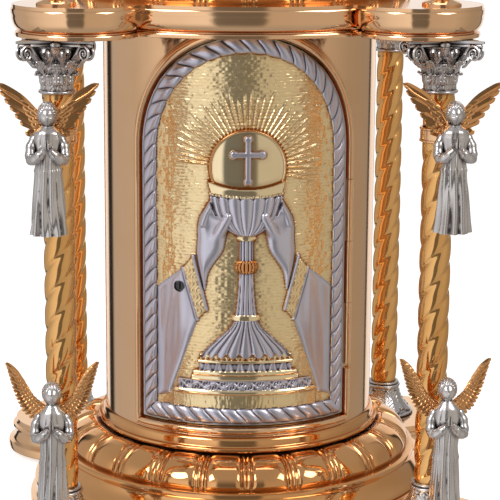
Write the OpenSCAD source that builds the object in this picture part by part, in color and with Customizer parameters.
// Tabernacle monstrance: a round, lockable tabernacle between four twisted columns,
// with a lobed base and canopy, a gadrooned foot and roof, and a lift-off sunburst
// head that holds the glazed luna. Front is -Y, up is +Z, millimetres.

/* [Drum] */
// Outer radius of the drum wall
drum_r = 120; // [118:1:122]
// Height of the drum wall, from the foot band to the canopy
drum_h = 345; // [343:1:350]
// Thickness of the drum wall
wall_t = 2.5; // [2:0.5:2.5]
// Outer radius of the inner lining
lining_r = 99; // [92:1:100]
// Height of the drum's bottom edge above the surface it stands on
drum_z = 95; // [95:1:110]

/* [Base and canopy] */
// Height of the base plate's top, where the columns and angels stand
plate_z = 34; // [30:1:34]
// Radius of the base's round middle
base_r = 190; // [188:1:195]
// Radius of the base's corner lobes
base_lobe_r = 66; // [64:1:70]
// Radius of the canopy's round middle
canopy_r = 176; // [172:1:178]
// Radius of the canopy's corner lobes
canopy_lobe_r = 54; // [52:1:56]
// Distance of the canopy lobes' centres from the drum's axis
canopy_lobe_d = 194; // [192:1:196]
// Height of the canopy's moulded rim
rim_h = 26; // [24:1:30]
// Thickness of the flat sheet plates
sheet_t = 3; // [2:0.5:3]

/* [Columns] */
// Distance of each column's axis from the drum's axis, in X and in Y
column_xy = 154; // [152:1:156]
// Radius over the twisted ridges of a column shaft
shaft_r = 13; // [12.5:0.1:14]
// Height of a column base
column_base_h = 32.5; // [32:0.5:36]
// Height of a column capital
capital_h = 44; // [42:1:46]
// Radius of the steel tie rods inside the columns
rod_r = 4; // [3:0.5:4]

/* [Gadroons] */
// Number of gadroon lobes round the foot and the roof
gadroons = 24; // [20:1:28]
// Height of the foot's gadrooned ring
gadroon_h = 25; // [24:1:26]

/* [Door] */
// Half of the door's width, measured along its curve
door_half = 96; // [95:0.5:96]
// Height of the door's bottom edge above the drum's bottom
door_low = 11; // [11:0.5:12]
// Height of the spring line of the door's arch above the drum's bottom
arch_z = 246; // [245:0.5:246]
// Gap round the door
door_gap = 1.5; // [1.2:0.1:1.5]
// Thickness of the door panel
panel_t = 3; // [2.5:0.5:3]
// Radius of the round frame bead and of the hinge barrel
bead_r = 3.2; // [3:0.1:3.3]
// Radius of the hinge pins
pin_r = 1.6; // [1.4:0.1:1.8]

/* [Lock] */
// Distance of the keyhole from the door's middle, along its curve
lock_s = 57; // [55:1:58]
// Height of the keyhole above the drum's bottom
lock_z = 131; // [120:1:140]
// Radius of the turning lock plug
plug_r = 4.2; // [4:0.1:4.4]
// Reach of the cam behind the jamb
cam_len = 46; // [45:0.5:46]

/* [Angels] */
// Distance of each angel from the middle, in X
angel_x = 160; // [159:1:161]
// Distance of each angel from the middle, towards the front
angel_y = 199; // [198:1:200]
// Height of the lower angels' shoulders above the drum's bottom
lower_root_z = 44; // [40:1:46]
// Height of the upper angels' shoulders above the drum's bottom
upper_root_z = 270; // [268:1:272]

/* [Head] */
// Height of the middle of the luna
luna_z = 795; // [795:1:805]
// Radius of the luna's frame
luna_r = 50; // [49:1:52]
// Reach of the long rays from the middle of the luna
ray_r = 106; // [100:1:112]
// Number of long rays
rays = 16; // [14:2:20]
// Thickness of a ray
ray_t = 2.2; // [1.8:0.1:2.6]
// Half width of a ray where it leaves the luna's frame
ray_half = 4.5; // [3.5:0.1:5]
// Radius of the head's spigot
spigot_r = 8; // [7:0.5:9]

/* [Hidden] */
$fn = 72;
fit = 0.05;          // running clearance of pins, plug and spigot, on the radius
slack = 0.3;         // clearance of holes for rods, on the radius
cut = 1;             // how far a cutting shape runs past a face
face_r = drum_r + 1; // outer face of the door panel
soffit_z = drum_z + drum_h;
roof_z = soffit_z + rim_h;
column_xys = [for (x = [-1, 1], y = [-1, 1]) [x * column_xy, y * column_xy]];
shaft_low = plate_z + column_base_h;
shaft_high = soffit_z - capital_h;
band_z = drum_z - 12; // underside of the foot band
gadroon_low = band_z - gadroon_h;
gadroon_out = 157;
gadroon_in = 126.5;

// hinge: on the line of the frame bead, right of the door
hinge_s = door_half + door_gap + 3; // the bead's middle, past the edge of the opening
hinge_dist = drum_r + 2.5;          // from the drum's axis
hinge_deg = hinge_s / face_r * 180 / PI;
hinge_x = hinge_dist * sin(hinge_deg);
hinge_y = -hinge_dist * cos(hinge_deg);
knuckle_z = [54.5, 109.5, 163.5, 217.5]; // cuts between the knuckles, above the drum's bottom
knuckle_gap = 0.3;

// relief: a thin field inside the rope, with the figures raised on it
rope_w = 16;     // width of the rope border with its margin
field_t = 0.8;   // thickness of the field's sheet
relief_t = 3;    // top of the raised figures above the door's face
host_r = 32;

// lock: its axis is radial, and d is the distance from the drum's axis along it
lock_deg = -lock_s / face_r * 180 / PI;
plug_front = face_r + 0.4;
plug_back = drum_r - 12.4;
barrel_r = 6;
cam_t = 2;

dome_low = roof_z + gadroon_h + 8;
dome_high = dome_low + 88;
dome_r = 118;
dome_top_r = 32;
socket_high = dome_high + 22;
luna_half_t = 9;
glass_t = 1.5;
luna_hinge_x = luna_r + 5;
luna_hinge_y = luna_half_t + 3;

// ---- shared shapes ----

// Points of a curve that bulges from (r0, z0) at the bottom to (r1, z1) at the top
function bulge(r0, z0, r1, z1, steps) = [for (i = [0:steps])
    [r1 + (r0 - r1) * cos(i * 90 / steps), z0 + (z1 - z0) * sin(i * 90 / steps)]];

// Points of a hollow curve between the same two ends
function hollow(r0, z0, r1, z1, steps) = [for (i = [0:steps])
    [r0 + (r1 - r0) * sin(i * 90 / steps), z1 + (z0 - z1) * cos(i * 90 / steps)]];

// An arched outline on the unrolled drum front: s along the curve, z up
function arch(half, low) = concat([[-half, low], [half, low]],
    [for (a = [0:7.5:180]) [half * cos(a), arch_z + half * sin(a)]]);

// Unrolled drum coordinates to the view from the front
function wrap(p) = [face_r * sin(p[0] / face_r * 180 / PI), p[1]];

function mirror_s(points) = [for (p = points) [-p[0], p[1]]];

// Point at (s, z) on the unrolled drum, at distance r from the axis
function on_drum(s, z, r) = [r * sin(s / face_r * 180 / PI),
    -r * cos(s / face_r * 180 / PI), z];

function unit(v) = v / norm(v);

// Rings of a tube of radius r along a path, as one list of points
function tube_points(path, r, sides) = [for (i = [0:len(path) - 1])
    let (ahead = unit(path[min(i + 1, len(path) - 1)] - path[max(i - 1, 0)]),
        out = unit([path[i][0], path[i][1], 0]),
        across = unit(cross(ahead, out)),
        up = cross(across, ahead))
    for (k = [0:sides - 1])
        path[i] + r * (cos(k * 360 / sides) * up + sin(k * 360 / sides) * across)];

function tube_faces(rings, sides) = concat(
    [[for (k = [0:sides - 1]) k]],
    [for (i = [0:rings - 2], k = [0:sides - 1])
        let (a = i * sides + k, b = i * sides + (k + 1) % sides)
        [a, a + sides, b + sides, b]],
    [[for (k = [sides - 1:-1:0]) (rings - 1) * sides + k]]);

module tube(r_out, r_in, low, high) {
    translate([0, 0, low]) difference() {
        cylinder(r = r_out, h = high - low);
        translate([0, 0, -cut]) cylinder(r = r_in, h = high - low + 2 * cut);
    }
}

// A shell between two radii, cut to an outline on the unrolled drum front
module front_shell(r_in, r_out, outline) {
    translate([0, 0, drum_z]) intersection() {
        tube(r_out, r_in, 0, drum_h);
        front_block(outline);
    }
}

module front_block(outline) {
    rotate([90, 0, 0]) linear_extrude(drum_r + 20)
        polygon([for (p = outline) wrap(p)]);
}

// Places a shape whose +Z runs out along the lock's axis
module at_lock() {
    translate([0, 0, drum_z + lock_z]) rotate([90, 0, lock_deg]) children();
}

module at_hinge() {
    translate([hinge_x, hinge_y, drum_z]) children();
}

module at_columns() {
    for (p = column_xys) translate([p[0], p[1], 0]) children();
}

module at_lobes(d) {
    for (a = [45:90:315]) rotate(a) translate([d, 0, 0]) children();
}

// The lobed plan that the base and the canopy share
module lobed_plate(low, high, middle_r, lobe_r, lobe_d) {
    translate([0, 0, low]) linear_extrude(high - low) {
        circle(r = middle_r);
        at_lobes(lobe_d) circle(r = lobe_r);
    }
}

// A moulding stepped round the lobed plan, open inside; each step is [inset, low, high]
module lobed_moulding(steps, middle_r, lobe_r, lobe_d, band_w) {
    for (p = steps) difference() {
        lobed_plate(p[1], p[2], middle_r - p[0], lobe_r - p[0], lobe_d);
        lobed_plate(p[1] - cut, p[2] + cut, middle_r - band_w, lobe_r - band_w, lobe_d);
    }
}

module rod_holes(low, high) {
    at_columns() translate([0, 0, low - cut])
        cylinder(r = rod_r + slack, h = high - low + 2 * cut);
}

// A ring of bulging gadroons between two radii, with a flat inner wall
module gadroon_band(low, out_r, in_r, wall_r) {
    lobe_deg = 360 / gadroons - 4;
    lobe_top = low + gadroon_h - 2;
    rotate_extrude() polygon(concat([[wall_r, low]],
        bulge(out_r - 2, low, in_r, low + gadroon_h, 8), [[wall_r, low + gadroon_h]]));
    for (i = [0:gadroons - 1]) rotate((i + 0.5) * 360 / gadroons - lobe_deg / 2 - 90)
        rotate_extrude(angle = lobe_deg) polygon(concat([[wall_r + cut, low + cut]],
            bulge(out_r, low + cut, in_r - 3, lobe_top, 8), [[wall_r + cut, lobe_top]]));
}

module hex_nut(low, high, flats, hole_r) {
    translate([0, 0, low]) difference() {
        cylinder(d = flats / cos(30), h = high - low, $fn = 6);
        translate([0, 0, -cut]) cylinder(r = hole_r, h = high - low + 2 * cut);
    }
}

// ---- base ----

module base_feet() {
    color("dimgray") at_lobes(column_xy * sqrt(2)) cylinder(r = 22, h = 4);
}

module base_bottom() {
    color("darkgoldenrod") lobed_plate(4, 6, base_r - 14, base_lobe_r - 14,
        column_xy * sqrt(2));
}

module base_plinth() {
    steps = [[0, 4, 13], [3, 13, 17], [6, 17, 23], [4, 23, 27],
        [7, 27, plate_z - sheet_t]];
    color("goldenrod") lobed_moulding(steps, base_r, base_lobe_r, column_xy * sqrt(2), 14);
}

module base_plate() {
    color("gold") difference() {
        lobed_plate(plate_z - sheet_t, plate_z, base_r - 8, base_lobe_r - 8,
            column_xy * sqrt(2));
        rod_holes(plate_z - sheet_t, plate_z);
    }
}

module foot_skirt() {
    color("goldenrod") rotate_extrude() polygon(concat(
        [[150, plate_z], [172, plate_z]],
        hollow(172, plate_z + 3, gadroon_out, gadroon_low, 6),
        [[150, gadroon_low]]));
}

module gadroon_ring() {
    color("goldenrod") gadroon_band(gadroon_low, gadroon_out, gadroon_in, 118);
}

module foot_band() {
    color("gold") rotate_extrude() polygon([[112, band_z], [gadroon_in, band_z],
        [gadroon_in, band_z + 3], [drum_r + 3, band_z + 5], [drum_r + 3, drum_z - 3],
        [drum_r + 2, drum_z], [112, drum_z]]);
}

// ---- drum ----

module drum_floor() {
    color("gold") tube(drum_r - wall_t, 4, drum_z + 4, drum_z + 8);
}

module drum_wall() {
    color("goldenrod") difference() {
        tube(drum_r, drum_r - wall_t, drum_z, soffit_z);
        translate([0, 0, drum_z])
            front_block(arch(door_half + door_gap, door_low - door_gap));
        for (i = [0, 2]) at_hinge() translate([0, 0, knuckle_z[i] - knuckle_gap])
            cylinder(r = bead_r + 0.5, h = knuckle_z[i + 1] - knuckle_z[i] + 2 * knuckle_gap);
    }
}

module drum_lining() {
    reveal_x = lining_r - 4;
    color("khaki") difference() {
        union() {
            tube(lining_r, lining_r - 1.5, drum_z + 8, soffit_z - 4);
            for (x = [-reveal_x - 1, reveal_x - 1])
                translate([x, -67, drum_z + 8]) cube([2, 41, drum_h - 12]);
        }
        translate([0, 0, drum_z]) front_block(arch(83, door_low));
    }
}

module drum_ceiling() {
    color("gold") tube(drum_r - wall_t, 4, soffit_z - 4, soffit_z);
}

// Round bead round the door, a hair slimmer than the hinge barrel that takes its
// place on the right, so that the door's edge swings clear of it
module door_frame() {
    low = door_low - door_gap - bead_r;
    mid = hinge_s;
    slim_r = bead_r - 0.4;
    top = [for (a = [0:4:180]) on_drum(mid * cos(a), arch_z + mid * sin(a), hinge_dist)];
    left = concat(top, [for (z = [arch_z / 2, low]) on_drum(-mid, z, hinge_dist)],
        [for (s = [-mid + 5:10:mid - 5]) on_drum(s, low, hinge_dist)],
        [on_drum(mid, low, hinge_dist), on_drum(mid, knuckle_z[0] - knuckle_gap, hinge_dist)]);
    path = concat([on_drum(mid, knuckle_z[3] + knuckle_gap, hinge_dist)], left);
    color("goldenrod") difference() {
        translate([0, 0, drum_z]) polyhedron(
            tube_points(path, slim_r, 10), tube_faces(len(path), 10), convexity = 6);
        translate([-drum_r, -drum_r - 20, soffit_z]) cube([2 * drum_r, drum_r, 20]);
    }
}

module frame_knuckle() {
    color("goldenrod") at_hinge() tube(bead_r, pin_r, knuckle_z[1], knuckle_z[2]);
}

module hinge_pin() {
    color("silver") at_hinge() translate([0, 0, knuckle_z[0] + cut])
        cylinder(r = pin_r, h = knuckle_z[3] - knuckle_z[0] - 2 * cut);
}

// ---- door ----

module door_panel() {
    color("gold") difference() {
        front_shell(face_r - panel_t, face_r, arch(door_half, door_low));
        at_lock() cylinder(r = barrel_r, h = drum_r + 20);
    }
}

// Two barrels with the leaves that join them to the door's edge
module door_knuckles() {
    leaf_x = hinge_x - wrap([door_half, 0])[0] - fit;
    color("goldenrod") for (i = [0, 2]) at_hinge() difference() {
        union() {
            low = knuckle_z[i] + knuckle_gap;
            high = knuckle_z[i + 1] - knuckle_gap;
            translate([0, 0, low]) cylinder(r = bead_r, h = high - low);
            translate([-leaf_x, -1.5, low]) cube([leaf_x - 2.4, 3, high - low]);
        }
        cylinder(r = pin_r + fit, h = drum_h);
    }
}

module keyhole() {
    at_lock() cylinder(r = plug_r + 0.4, h = drum_r + 20);
}

module door_rope() {
    color("silver") difference() {
        front_shell(face_r, face_r + 3.5, arch(door_half - 4, door_low + 2));
        translate([0, 0, drum_z]) front_block(arch(door_half - rope_w, door_low + rope_w - 1));
    }
}

module door_field() {
    color("gold") difference() {
        front_shell(face_r, face_r + field_t, arch(door_half - rope_w - 0.5,
            door_low + rope_w - 0.5));
        keyhole();
    }
}

function host_outline(r) = [for (a = [0:10:350]) [r * cos(a), 234 + r * sin(a)]];

module relief_host() {
    color("gold") front_shell(face_r + field_t, face_r + relief_t, host_outline(host_r));
}

// Half outline of the raised chalice, from the foot up to the lip
chalice_half = [[62, 26], [62, 38], [57, 41], [57, 50], [44, 52], [44, 59], [38, 66],
    [38, 71], [24, 84], [13, 95], [9, 104], [12, 106], [6, 110], [9, 147],
    [10, 152], [6, 158], [6, 172], [9, 177], [25, 190], [30, 208], [34, 211], [34, 221]];

module relief_chalice() {
    outline = concat(chalice_half, [for (i = [len(chalice_half) - 1:-1:0])
        [-chalice_half[i][0], chalice_half[i][1]]]);
    color("silver") front_shell(face_r + relief_t, face_r + relief_t + 2, outline);
}

hand_outline = [[30, 203], [41, 188], [43, 155], [36, 122], [32, 126], [30, 140],
    [22, 160], [13, 186], [12, 193]];
sleeve_outline = [[79, 128], [54, 147], [41, 103], [65, 37], [79, 33]];

module both_sides(r_in, r_out, outline) {
    front_shell(r_in, r_out, outline);
    front_shell(r_in, r_out, mirror_s(outline));
}

module relief_hands() {
    color("silver") difference() {
        both_sides(face_r + field_t, face_r + relief_t, hand_outline);
        front_shell(face_r, face_r + relief_t + cut, host_outline(host_r + 0.5));
    }
}

module relief_sleeves() {
    color("silver") difference() {
        both_sides(face_r + field_t, face_r + relief_t, sleeve_outline);
        keyhole();
    }
}

// ---- lock ----

module lock_barrel() {
    color("silver") at_lock() tube(barrel_r, plug_r + fit, plug_back, face_r - 0.2);
}

module lock_nut() {
    color("silver") at_lock() hex_nut(plug_back + 5, face_r - panel_t - 0.6, 17, barrel_r);
}

module lock_plug() {
    color("darkgray") at_lock() {
        difference() {
            translate([0, 0, plug_back]) cylinder(r = plug_r, h = plug_front - plug_back);
            translate([-0.6, -3, plug_front - 5]) cube([1.2, 6, 5 + cut]);
        }
        translate([0, 0, plug_back - 5]) cylinder(r = 2.5, h = 5 + cut);
    }
}

// Flat cam, hanging straight down when the lock is open
module lock_cam() {
    color("silver") at_lock() translate([0, 0, plug_back - 0.6 - cam_t]) difference() {
        linear_extrude(cam_t) union() {
            circle(r = 7);
            translate([-5, -cam_len, 0]) square([10, cam_len]);
        }
        translate([0, 0, -cut]) cylinder(r = 2.5, h = cam_t + 2 * cut);
    }
}

module cam_nut() {
    color("silver") at_lock() hex_nut(plug_back - 4.8, plug_back - 0.6 - cam_t, 8, 2.5);
}

// ---- columns ----

// Shaft sized over its twisted ridges, with a bore for the tie rod
module column_shaft(x, y) {
    color("goldenrod") translate([x * column_xy, y * column_xy, 0])
        tube(shaft_r, rod_r + slack, shaft_low, shaft_high);
}

module column_bases() {
    color("silver") at_columns() translate([0, 0, plate_z]) rotate_extrude() polygon(concat(
        [[rod_r + slack, 0], [31, 0], [31, 3]],
        hollow(29, 5, 19, 25, 5),
        [[18, 27], [18, column_base_h], [rod_r + slack, column_base_h]]));
}

module column_capitals() {
    color("silver") at_columns() translate([0, 0, shaft_high]) {
        rotate_extrude() polygon(concat(
            [[rod_r + slack, 0], [16.5, 0], [16.5, 3], [14, 5]],
            [for (i = [0:5]) [14 + 13 * pow(i / 5, 3), 8 + 30 * i / 5]],
            [[27, capital_h - 5], [rod_r + slack, capital_h - 5]]));
        translate([0, 0, capital_h - 5]) linear_extrude(5) difference() {
            square(62, center = true);
            circle(r = rod_r + slack);
            for (a = [0:90:270]) rotate(a) translate([80, 0]) circle(r = 56);
        }
        for (a = [45:90:315]) rotate(a) translate([34, 0, capital_h - 10.5])
            rotate([90, 0, 0]) cylinder(r = 6.5, h = 7, center = true);
    }
}

module tie_rods() {
    color("silver") at_columns() translate([0, 0, 20])
        cylinder(r = rod_r, h = roof_z + 14 - 20);
}

module rod_nuts() {
    color("silver") at_columns() hex_nut(plate_z - sheet_t - 7, plate_z - sheet_t, 13, rod_r);
}

// Turned cap nuts that close the columns above the canopy
module corner_finials() {
    color("gold") at_columns() translate([0, 0, roof_z]) difference() {
        rotate_extrude() polygon(concat([[0, 0], [16, 0], [16, 3], [9, 6], [7, 10]],
            [for (a = [-60:20:60]) [12 * cos(a), 20 + 12 * sin(a)]],
            [[4, 33], [5, 37], [0, 40]]));
        translate([0, 0, -cut]) cylinder(r = rod_r, h = 14 + cut);
    }
}

// ---- angels ----

// Gold clamps round the front shafts, with the arms that carry the upper angels
module column_collars() {
    low = drum_z + upper_root_z - 9;
    color("gold") for (x = [-1, 1]) {
        translate([x * column_xy, -column_xy, 0]) tube(15.6, shaft_r + slack, low, low + 12);
        arm = [angel_x - column_xy, angel_y - column_xy - 17];
        translate([x * column_xy, -column_xy, low + 2])
            rotate(x * atan2(arm[0], arm[1])) translate([-4, -norm(arm), 0])
            cube([8, norm(arm) - 14.5, 8]);
    }
}

// A standing robed figure: robe, shoulders, head and two forearms
module angel(x, root, robe_h) {
    color("silver") translate([x * angel_x, -angel_y, drum_z + root]) {
        rotate_extrude() polygon([[0, -robe_h], [15, -robe_h], [14, -robe_h + 6],
            [12, -robe_h * 0.6], [10, -20], [13, -4], [12, 3], [5, 8], [4, 13], [0, 13]]);
        translate([0, 0, 19]) sphere(r = 8.5);
        for (side = [-1, 1]) translate([side * 13, 0, -4]) rotate([110, 0, side * 18])
            cylinder(r = 4, h = 15);
    }
}

module upper_angel(x) { angel(x, upper_root_z, 75); }
module lower_angel(x) { angel(x, lower_root_z, drum_z + lower_root_z - plate_z); }

// A pair of raised wings behind each figure's shoulders
module wings(root, outline) {
    color("gold") for (x = [-1, 1], side = [-1, 1])
        translate([x * angel_x, -angel_y + 16, drum_z + root]) rotate([90, 0, 0])
            linear_extrude(3) polygon([for (p = outline) [side * p[0], p[1]]]);
}

upper_wing = [[0, -4], [3, 10], [8, 19], [13, 24], [24, 30], [32, 35], [40, 42], [34, 30],
    [30, 24], [26, 18], [22, 12], [18, 4], [12, -2], [6, -10], [0, -14]];
lower_wing = [[0, -6], [4, 3], [12, 8], [17, 14], [22, 24], [30, 34], [37.5, 42], [35, 31],
    [32, 20], [29, 12], [24, 0], [16, -6], [6, -12], [0, -14]];

module upper_wings() { wings(upper_root_z, upper_wing); }
module lower_wings() { wings(lower_root_z, lower_wing); }

// ---- canopy and roof ----

module canopy_soffit() {
    color("gold") difference() {
        lobed_plate(soffit_z, soffit_z + sheet_t, canopy_r - 10, canopy_lobe_r - 10,
            canopy_lobe_d);
        rod_holes(soffit_z, soffit_z + sheet_t);
    }
}

module canopy_rim() {
    steps = [[3, soffit_z, soffit_z + 4], [7, soffit_z + 4, soffit_z + 9],
        [4, soffit_z + 9, soffit_z + 14], [1, soffit_z + 14, soffit_z + 18],
        [0, soffit_z + 18, roof_z - sheet_t]];
    color("goldenrod") lobed_moulding(steps, canopy_r, canopy_lobe_r, canopy_lobe_d, 10);
}

module canopy_roof() {
    color("gold") difference() {
        lobed_plate(roof_z - sheet_t, roof_z, canopy_r - 1, canopy_lobe_r - 1,
            canopy_lobe_d);
        rod_holes(roof_z - sheet_t, roof_z);
    }
}

module roof_gadroons() {
    color("goldenrod") gadroon_band(roof_z, gadroon_out - 6, dome_r + 2, 110);
}

function dome_points(inset) = [for (i = [0:12])
    [dome_top_r - inset + (dome_r - dome_top_r) * pow(cos(i * 7.5), 0.9),
        dome_low + (dome_high - dome_low - inset) * pow(sin(i * 7.5), 0.9)]];

module dome() {
    color("goldenrod") rotate_extrude() polygon(concat(
        [[dome_r - 4, dome_low - 8], [dome_r + 2, dome_low - 8], [dome_r + 2, dome_low]],
        dome_points(0), [[spigot_r + 6, dome_high], [spigot_r + 6, dome_high - 2.5]],
        [for (i = [12:-1:0]) dome_points(2.5)[i]], [[dome_r - 4, dome_low]]));
}

// Turned socket that the head's spigot drops into
module head_socket() {
    color("gold") rotate_extrude() polygon([[spigot_r + fit, dome_high - 40],
        [spigot_r + 5, dome_high - 40], [spigot_r + 5, dome_high],
        [30, dome_high], [30, dome_high + 4], [21, dome_high + 8],
        [18, dome_high + 15], [22, socket_high - 4], [22, socket_high],
        [spigot_r + fit, socket_high]]);
}

// ---- head ----

module at_luna() {
    translate([0, 0, luna_z]) rotate([90, 0, 0]) children();
}

module head_stem() {
    low = socket_high;
    high = luna_z - luna_r - 4;
    knop = (low + high) / 2;
    color("goldenrod") rotate_extrude() polygon(concat(
        [[0, dome_high - 36], [spigot_r, dome_high - 36], [spigot_r, low], [24, low],
            [24, low + 4]],
        hollow(22, low + 5, 8, knop - 22, 5), [[11, knop - 19], [11, knop - 16]],
        [for (a = [-60:20:60]) [6 + 13 * cos(a), knop + 16 * sin(a)]],
        [[11, knop + 16], [11, knop + 19], [7, knop + 22], [6, high - 14],
            [12, high - 6], [12, high], [0, high]]));
}

// Ring behind the luna's frame, with long and short rays set into it
module sunburst() {
    step = 180 / rays;
    color("gold") at_luna() difference() {
        union() {
            translate([0, 0, -1.5]) cylinder(r = luna_r + 14, h = 3);
            for (i = [0:rays * 2 - 1]) if (abs(i - rays) > 1)
                rotate([0, 0, 90 + i * step]) translate([0, 0, -ray_t / 2])
                linear_extrude(ray_t) polygon([[luna_r, -ray_half],
                    [i % 2 == 0 ? ray_r : ray_r - 20, 0], [luna_r, ray_half]]);
        }
        translate([0, 0, -1.5 - cut]) cylinder(r = luna_r - 6, h = 3 + 2 * cut);
        translate([-12.3, -luna_r - 20, -2]) cube([24.6, 21, 4]);
    }
}

module luna_frame() {
    color("goldenrod") at_luna() {
        rotate_extrude() polygon([[luna_r - 9, 1.5], [luna_r, 1.5], [luna_r, 6],
            [luna_r - 3, luna_half_t], [luna_r - 7, luna_half_t + 2],
            [luna_r - 12, luna_half_t], [luna_r - 12, luna_half_t - glass_t],
            [luna_r - 9, luna_half_t - glass_t]]);
        rotate_extrude() polygon([[luna_r - 6.5, -luna_half_t + 2], [luna_r, -luna_half_t + 2],
            [luna_r, -1.5], [luna_r - 6.5, -1.5]]);
        translate([-12, -luna_r - 4, -7]) cube([24, 5, 15]);
    }
    color("goldenrod") translate([luna_hinge_x, luna_hinge_y, luna_z]) {
        difference() {
            union() {
                tube(3, pin_r, -6, 6);
                translate([-4.4, -luna_half_t, -6]) cube([4.4, luna_half_t - 1, 12]);
                translate([-6, -luna_half_t - 1.2, -6]) cube([6, 4.2, 12]);
            }
            translate([0, 0, -7]) cylinder(r = pin_r, h = 14);
        }
    }
}

module luna_glass_front() {
    color("lightblue", 0.4) at_luna() translate([0, 0, luna_half_t - 2 * glass_t])
        cylinder(r = luna_r - 9.3, h = glass_t);
}

// Crescent clip that holds the host upright between the glasses
module lunette() {
    color("gold") at_luna() translate([0, 0, -2]) difference() {
        cylinder(r = luna_r - 10, h = 4);
        translate([0, 10, -cut]) cylinder(r = luna_r - 9, h = 4 + 2 * cut);
        translate([-luna_r, -8, -cut]) cube([2 * luna_r, luna_r + 10, 4 + 2 * cut]);
    }
    color("gold") translate([-6, -1.4, luna_z - luna_r + 6.7]) cube([12, 2.8, 4.5]);
}

module luna_pin() {
    color("silver") translate([luna_hinge_x, luna_hinge_y, luna_z - 16])
        cylinder(r = pin_r, h = 32);
}

module luna_door_ring() {
    color("goldenrod") {
        at_luna() rotate_extrude() polygon([[luna_r - 12, -luna_half_t - 2],
            [luna_r - 6, -luna_half_t - 3], [luna_r, -luna_half_t - 2],
            [luna_r, -luna_half_t + 1.6], [luna_r - 9, -luna_half_t + 1.6],
            [luna_r - 9, -luna_half_t], [luna_r - 12, -luna_half_t]]);
        for (z = [-16, 6.3]) translate([luna_hinge_x, luna_hinge_y, luna_z + z])
            difference() {
                union() {
                    cylinder(r = 3, h = 9.7);
                    translate([-7.5, -3, 0]) cube([7.5, 3, 9.7]);
                }
                translate([0, 0, -cut]) cylinder(r = pin_r + fit, h = 9.7 + 2 * cut);
            }
        translate([-luna_r + 4, luna_half_t + 2, luna_z]) rotate([-90, 0, 0])
            cylinder(r = 2.5, h = 6);
    }
}

module luna_glass_rear() {
    color("lightblue", 0.4) at_luna() translate([0, 0, -luna_half_t])
        cylinder(r = luna_r - 9.3, h = glass_t);
}

module head_cross() {
    low = luna_z + luna_r;
    color("gold") translate([0, 0, low]) {
        translate([-4, -8, 0]) cube([8, 5, 66]);
        translate([-14, -8, 66]) cube([28, 5, 7]);
        translate([-3.5, -8, 66]) cube([7, 5, 26]);
        for (p = [[-15, 69.5], [15, 69.5], [0, 93]]) translate([p[0], -8, p[1]])
            rotate([-90, 0, 0]) cylinder(r = 5, h = 5);
    }
}

base_feet();
base_bottom();
base_plinth();
base_plate();
foot_skirt();
gadroon_ring();
foot_band();
drum_floor();
drum_wall();
drum_lining();
drum_ceiling();
door_frame();
frame_knuckle();
hinge_pin();
door_panel();
door_knuckles();
door_rope();
door_field();
relief_host();
relief_chalice();
relief_hands();
relief_sleeves();
lock_barrel();
lock_nut();
lock_plug();
lock_cam();
cam_nut();
column_shaft(-1, -1);  // column_shaft_front_left
column_shaft(1, -1);  // column_shaft_front_right
column_shaft(-1, 1);  // column_shaft_rear_left
column_shaft(1, 1);  // column_shaft_rear_right
column_bases();
column_capitals();
tie_rods();
rod_nuts();
corner_finials();
column_collars();
upper_angel(-1);  // upper_angel_left
upper_angel(1);  // upper_angel_right
lower_angel(-1);  // lower_angel_left
lower_angel(1);  // lower_angel_right
upper_wings();
lower_wings();
canopy_soffit();
canopy_rim();
canopy_roof();
roof_gadroons();
dome();
head_socket();
head_stem();
sunburst();
luna_frame();
luna_glass_front();
lunette();
luna_pin();
luna_door_ring();
luna_glass_rear();
head_cross();
